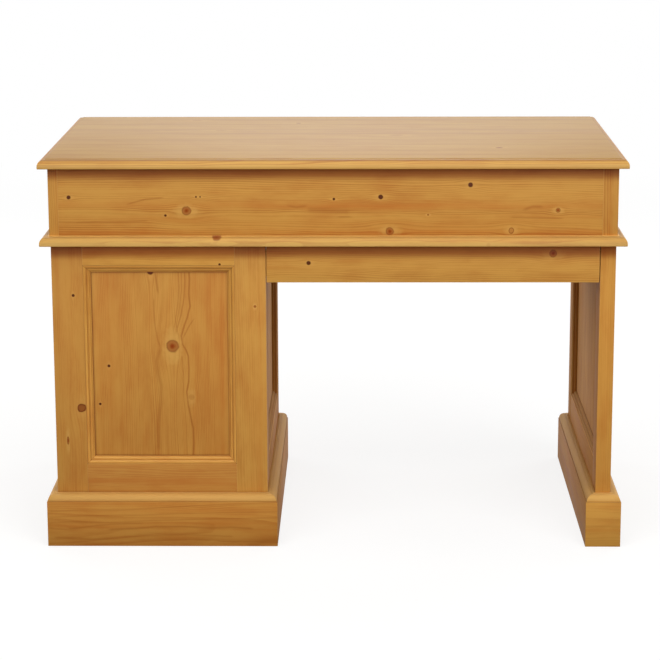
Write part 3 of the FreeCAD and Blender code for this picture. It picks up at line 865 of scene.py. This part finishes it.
def turnedKnob(name, x, y, z):
    section = knobSection()
    deselect()
    foot, radius = section[0]
    bpy.ops.mesh.primitive_circle_add(
        vertices=knobShape["sides"], radius=radius * mm, fill_type="NGON", location=(0.0, 0.0, foot * mm),
    )
    piece = bpy.context.object
    piece.name = name
    bpy.ops.object.transform_apply(location=True, rotation=True, scale=True)
    bpy.ops.object.mode_set(mode="EDIT")
    bpy.ops.mesh.select_all(action="SELECT")
    for (reach0, radius0), (reach1, radius1) in zip(section, section[1:]):
        grow = radius1 / radius0
        bpy.ops.mesh.extrude_region_move(TRANSFORM_OT_translate={"value": (0.0, 0.0, (reach1 - reach0) * mm)})
        bpy.ops.transform.resize(value=(grow, grow, 1.0), center_override=(0.0, 0.0, reach1 * mm))
    bpy.ops.mesh.extrude_region_move(
        TRANSFORM_OT_translate={"value": (0.0, 0.0, (knobShape["projection"] - section[-1][0]) * mm)})
    bpy.ops.mesh.merge(type="CENTER")
    bpy.ops.mesh.select_all(action="SELECT")
    bpy.ops.mesh.remove_doubles(threshold=knobShape["merge"] * mm)
    bpy.ops.mesh.normals_make_consistent(inside=False)
    bpy.ops.object.mode_set(mode="OBJECT")
    piece.matrix_world = Matrix.Translation((x, y, z)) @ Matrix.Rotation(math.radians(-90), 4, "X")
    bpy.ops.object.transform_apply(location=True, rotation=True, scale=True)
    bpy.ops.object.shade_smooth_by_angle(angle=math.radians(knobShape["smoothAngle"]))
    return piece


for count, (node, number) in enumerate(knobShape["knobs"].items()):
    low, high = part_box(node)
    radius = knobShape["radius"] * mm
    for place in range(number):
        x = low.x + radius + (high.x - low.x - 2 * radius) * place
        y = high.y - knobShape["projection"] * mm
        piece = turnedKnob(f"{node}.turned{place + 1}", x, y, (low.z + high.z) / 2)
        box = [[(x - radius) / mm, low.y / mm, low.z / mm], [(x + radius) / mm, high.y / mm, high.z / mm]]
        wood = pine(piece.name, "y", "x", box, 121 + 3 * count + place, tone=knobShape["tone"])
        piece.data.materials.append(wood)
        settle(piece, node)
print("knobs done")


# Hinges

brass = {"metal": (196, 158, 92), "tarnish": (122, 88, 44), "roughness": 0.32}


def hingeBrass():
    material, tree, shader = newMaterial("hinge_brass")
    place = Val.node(tree, "ShaderNodeTexCoord", out="Object")
    split = Val.node(tree, "ShaderNodeSeparateXYZ", {}, {0: place})
    x, y, z = (split.out(letter) * 1000 for letter in "XYZ")
    blotch = noise(point(x * 0.25, y * 0.25, z * 0.25), 4.0, 0.6).step(0.42, 0.72)
    brushed = noise(point(x * 6.0, y * 6.0, z * 0.12), 2.0)
    arris = Val.node(tree, "ShaderNodeAttribute", {"attribute_name": "arris"}, out="Fac")
    metal = mixed(blotch * 0.75 * (1 - arris * 0.8), colour(*brass["metal"]), colour(*brass["tarnish"]))
    feed(shader, {
        "Base Color": metal, "Metallic": 1.0,
        "Roughness": brushed * 0.18 + blotch * 0.14 + (brass["roughness"] - 0.09),
    })
    return material


hingeScrew = {
    "head": 2.9, "core": 1.2, "deep": 1.2, "sunk": 0.12, "clear": 0.15, "slotWide": 0.7, "slotDeep": 0.5,
    "sides": 28, "leafGap": 0.1, "leafHeight": 50.0, "leafEase": 0.15, "cutProud": 0.05, "mostTurn": 3.1,
    # rise above the leaf's foot and way back from the desk's front
    "front": 310.0, "places": [(9.0, -6.5), (25.0, -13.0), (41.0, -6.5)],
    "faces": {"hinge_frame_leaves": -1.0, "hinge_door_leaves": 1.0},
}


def cutAway(piece, tool):
    pickUp(piece)
    cut = piece.modifiers.new("cut", "BOOLEAN")
    cut.operation = "DIFFERENCE"
    cut.object = tool
    bpy.ops.object.modifier_apply(modifier=cut.name)
    bpy.data.objects.remove(tool)


def coneAt(low, high, deep, place, sign):
    # narrow end in the wood, wide end at the leaf's face
    deselect()
    turn = (0.0, math.radians(-90) * sign, 0.0)
    bpy.ops.mesh.primitive_cone_add(
        vertices=hingeScrew["sides"], radius1=low * mm, radius2=high * mm, depth=deep * mm,
        location=place, rotation=turn)
    bpy.ops.object.transform_apply(location=True, rotation=True, scale=True)
    return bpy.context.object


def slottedScrew(name, face, y, z, sign, turned):
    deep = hingeScrew["deep"]
    middle = face + sign * (hingeScrew["sunk"] + deep / 2) * mm
    piece = coneAt(hingeScrew["core"], hingeScrew["head"], deep, (middle, y, z), sign)
    piece.name = name
    top = face + sign * hingeScrew["sunk"] * mm
    deselect()
    bpy.ops.mesh.primitive_cube_add(size=1.0, location=(top, y, z), rotation=(turned, 0.0, 0.0))
    slot = bpy.context.object
    slot.scale = (2 * hingeScrew["slotDeep"] * mm, hingeScrew["slotWide"] * mm, 3 * hingeScrew["head"] * mm)
    bpy.ops.object.transform_apply(location=True, rotation=True, scale=True)
    cutAway(piece, slot)
    return piece


brassFinish = hingeBrass()
luck = random.Random(9)
axisX = (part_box("hinge_pins")[0].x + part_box("hinge_pins")[1].x) / 2
for node in ("hinge_frame_leaves", "hinge_door_leaves", "hinge_pins"):
    piece = easedCopy(node, hingeScrew["leafEase"])
    sign = hingeScrew["faces"].get(node)
    low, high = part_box(node)
    for foot in (low.z, high.z - hingeScrew["leafHeight"] * mm) if sign else ():
        for rise, back in hingeScrew["places"]:
            face = axisX + sign * hingeScrew["leafGap"] / 2 * mm
            y = (hingeScrew["front"] + back) * mm
            z = foot + rise * mm
            clear = hingeScrew["clear"]
            deep = hingeScrew["deep"] + 2 * hingeScrew["sunk"]
            middle = (face + sign * (deep / 2 - hingeScrew["cutProud"]) * mm, y, z)
            sink = coneAt(hingeScrew["core"] + clear, hingeScrew["head"] + 2 * clear, deep, middle, sign)
            cutAway(piece, sink)
            turned = luck.uniform(0, hingeScrew["mostTurn"])
            screw = slottedScrew(f"{node}.screw{round(z / mm)}", face, y, z, sign, turned)
            screw.data.materials.append(brassFinish)
            settle(screw, node, stands=False)
    piece.data.materials.append(brassFinish)
    settle(piece, node)
print("hinges done")


# Floor, light and camera

studio = {
    "floor": (240, 240, 238), "bounce": (124, 123, 120), "floorSize": 80.0, "floorDrop": 0.0005,
    "glow": 0.80, "shadow": 0.26, "near": 1.3, "far": 5.0, "world": 0.015,
    "lamps": {
        "frontLeft": {"at": (-2.9, -4.8, 2.5), "size": 4.2, "power": 135.0},
        "frontRight": {"at": (2.6, -4.4, 2.4), "size": 3.4, "power": 135.0},
        "over": {"at": (0.0, -1.0, 3.0), "size": 2.4, "power": 50.0},
        "rearLeft": {"at": (-2.7, 2.6, 1.7), "size": 2.4, "power": 50.0},
        "rearRight": {"at": (2.7, 2.6, 1.7), "size": 2.4, "power": 50.0},
        "rearHigh": {"at": (0.0, 3.8, 3.3), "size": 2.4, "power": 62.0},
    },
    "aim": (0.0, 0.0, 0.42),
}


def floorFinish():
    # white to the camera, with the desk's shadow on it, and a plain grey in the light that it throws back
    material, tree, shader = newMaterial("pale_floor")
    rays = Val.node(tree, "ShaderNodeLightPath", out="Is Camera Ray")
    seen = (rays + rays.out("Is Glossy Ray") + rays.out("Is Transmission Ray")) > 0.5
    place = Val.node(tree, "ShaderNodeTexCoord", out="Object")
    split = Val.node(tree, "ShaderNodeSeparateXYZ", {}, {0: place})
    reach = (split * split + split.out("Y") * split.out("Y")) ** 0.5
    away = reach.step(studio["near"], studio["far"])
    white = (1.0, 1.0, 1.0, 1.0)
    grey = (studio["glow"], studio["glow"], studio["glow"], 1.0)
    glow = Val.node(tree, "ShaderNodeEmission", {}, {"Color": mixed(away, grey, white), "Strength": 1.0})
    pale = mixed(away, colour(*studio["floor"], studio["shadow"]), (0.0, 0.0, 0.0, 1.0))
    lit = Val.node(tree, "ShaderNodeBsdfDiffuse", {}, {"Color": pale})
    front = Val.node(tree, "ShaderNodeAddShader", {}, {0: glow, 1: lit})
    feed(shader, {"Base Color": colour(*studio["bounce"]), "Roughness": 0.9, "Specular IOR Level": 0.1})
    both = Val.node(tree, "ShaderNodeMixShader", {}, {0: seen, 1: Val(shader.outputs[0]), 2: front})
    tree.links.new(both.socket, tree.nodes["Material Output"].inputs["Surface"])
    return material


deselect()
bpy.ops.mesh.primitive_plane_add(size=studio["floorSize"], location=(0.0, 0.0, -studio["floorDrop"]))
floor = bpy.context.object
floor.name = "studio_floor"
floor.data.materials.append(floorFinish())

world = bpy.data.worlds.new("studio")
bpy.context.scene.world = world
world.use_nodes = True
sky = world.node_tree.nodes["Background"]
rays = Val.node(world.node_tree, "ShaderNodeLightPath", out="Is Camera Ray")
seen = (rays + rays.out("Is Glossy Ray") + rays.out("Is Transmission Ray")) > 0.5
world.node_tree.links.new((seen * (1.0 - studio["world"]) + studio["world"]).socket, sky.inputs["Strength"])
sky.inputs["Color"].default_value = (1.0, 1.0, 1.0, 1.0)

for name, lamp in studio["lamps"].items():
    deselect()
    bpy.ops.object.light_add(type="AREA", location=lamp["at"])
    light = bpy.context.object
    light.name = name
    light.data.shape = "SQUARE"
    light.data.size = lamp["size"]
    light.data.energy = lamp["power"]
    light.rotation_euler = (Vector(studio["aim"]) - Vector(lamp["at"])).to_track_quat("-Z", "Y").to_euler()

viewpoint = {
    "at": (58.1, -4702.0, 1424.4), "focal": 2288.6, "picture": 660.0, "sensor": 36.0,
    "pitch": 0.22066, "yaw": 0.01468, "roll": -0.00309,
}
deselect()
bpy.ops.object.camera_add(location=[value * mm for value in viewpoint["at"]])
camera = bpy.context.object
camera.data.sensor_width = viewpoint["sensor"]
camera.data.lens = viewpoint["focal"] / viewpoint["picture"] * viewpoint["sensor"]
camera.rotation_euler = (
    Matrix.Rotation(viewpoint["yaw"], 3, "Z") @ Matrix.Rotation(math.pi / 2 - viewpoint["pitch"], 3, "X")
    @ Matrix.Rotation(viewpoint["roll"], 3, "Z")
).to_euler()
bpy.context.scene.camera = camera
bpy.context.scene.view_settings.view_transform = "Standard"
print("studio done")
